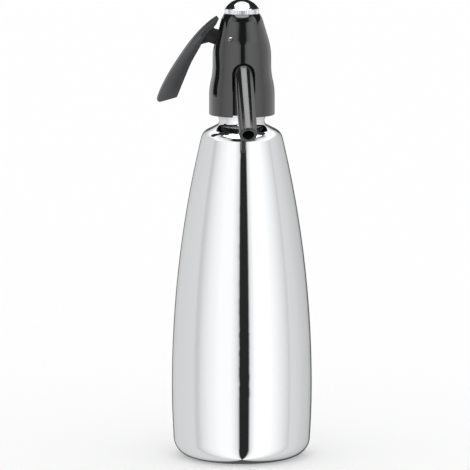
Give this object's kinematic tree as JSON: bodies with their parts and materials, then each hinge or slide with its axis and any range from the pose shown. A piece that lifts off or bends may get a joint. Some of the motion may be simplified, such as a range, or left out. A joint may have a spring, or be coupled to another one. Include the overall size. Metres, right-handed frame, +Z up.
{
  "type": "soda siphon",
  "caption": "Polished metal soda siphon with a black lever head, sloping spout, knurled cap and a gas charger holder.",
  "frame": {"origin": "centre of the bottle's foot on the surface it stands on", "axes": "+Z up along the bottle's axis, -Y towards the spout, -X towards the lever, +Y towards the charger holder"},
  "size_m": [0.1107, 0.1768, 0.3284],
  "materials": {
    "bottle_shell": "mirror-polished steel",
    "neck_ring": "polished steel, turned thread",
    "valve_body": "die-cast, satin",
    "head_gasket": "moulded",
    "shroud": "gloss black",
    "spout_tube": "gloss black",
    "spout_o_ring": "moulded",
    "spout_pin": "drawn",
    "riser_tube": "natural, translucent white",
    "riser_o_ring": "moulded",
    "riser_strainer": "natural",
    "measuring_tube": "natural",
    "valve_seat": "turned",
    "gland_plug": "turned",
    "stem_o_ring": "moulded",
    "pivot_pin": "ground",
    "spring_bonnet": "turned, threaded stud",
    "bonnet_screws": "plated",
    "valve_spring": "spring wire",
    "relief_disc": "foil",
    "relief_plug": "turned",
    "check_valve": "moulded",
    "inlet_nipple": "turned, threaded",
    "inlet_seal": "moulded",
    "piercing_pin": "hardened",
    "cap_ring": "knurled, plated",
    "cap_dome": "plated",
    "lever_handle": "gloss black",
    "lever_fork": "black",
    "lever_rivets": "plated",
    "valve_stem": "ground",
    "valve_washer": "moulded",
    "washer_screw": "turned",
    "stem_collar": "turned",
    "charger_holder": "gloss black, fluted mouth",
    "holder_insert": "turned",
    "charger": "zinc-plated bulb"
  },
  "bodies": {
    "bottle": {"bottle_shell": "bottle_shell", "neck_ring": "neck_ring"},
    "head": {"valve_body": "valve_body", "head_gasket": "head_gasket", "shroud": "shroud", "spout_tube": "spout_tube", "spout_o_ring": "spout_o_ring", "spout_pin": "spout_pin", "riser_tube": "riser_tube", "riser_o_ring": "riser_o_ring", "riser_strainer": "riser_strainer", "measuring_tube": "measuring_tube", "valve_seat": "valve_seat", "gland_plug": "gland_plug", "stem_o_ring": "stem_o_ring", "pivot_pin": "pivot_pin", "spring_bonnet": "spring_bonnet", "bonnet_screws": "bonnet_screws", "valve_spring": "valve_spring", "relief_disc": "relief_disc", "relief_plug": "relief_plug", "check_valve": "check_valve", "inlet_nipple": "inlet_nipple", "inlet_seal": "inlet_seal", "piercing_pin": "piercing_pin"},
    "cap": {"cap_ring": "cap_ring", "cap_dome": "cap_dome"},
    "lever": {"lever_handle": "lever_handle", "lever_fork": "lever_fork", "lever_rivets": "lever_rivets"},
    "valve": {"valve_stem": "valve_stem", "valve_washer": "valve_washer", "washer_screw": "washer_screw", "stem_collar": "stem_collar"},
    "holder": {"charger_holder": "charger_holder", "holder_insert": "holder_insert", "charger": "charger"}
  },
  "joints": [
    {"name": "head_lift", "type": "slide", "parent": "bottle", "child": "head", "axis": [0, 0, 1], "range_m": [0, 0.26]},
    {"name": "cap_lift", "type": "slide", "parent": "head", "child": "cap", "axis": [0, 0, 1], "range_m": [0, 0.03]},
    {"name": "lever_hinge", "type": "hinge", "parent": "head", "child": "lever", "pos_m": [-0.009, 0, 0.301], "axis": [0, -1, 0], "range_deg": [0, 12], "stiffness_Nm_per_rad": 0.6, "springref_deg": -22.92},
    {"name": "valve_lift", "type": "slide", "parent": "head", "child": "valve", "axis": [0, 0, 1], "range_m": [0, 0.00188], "deforming": ["valve_spring"]},
    {"name": "holder_pull", "type": "slide", "parent": "head", "child": "holder", "axis": [0, 1, 0], "range_m": [0, 0.075]}
  ],
  "couplings": [
    {"joint": "lever_hinge", "follows": "valve_lift", "rad_per_m": 111}
  ]
}
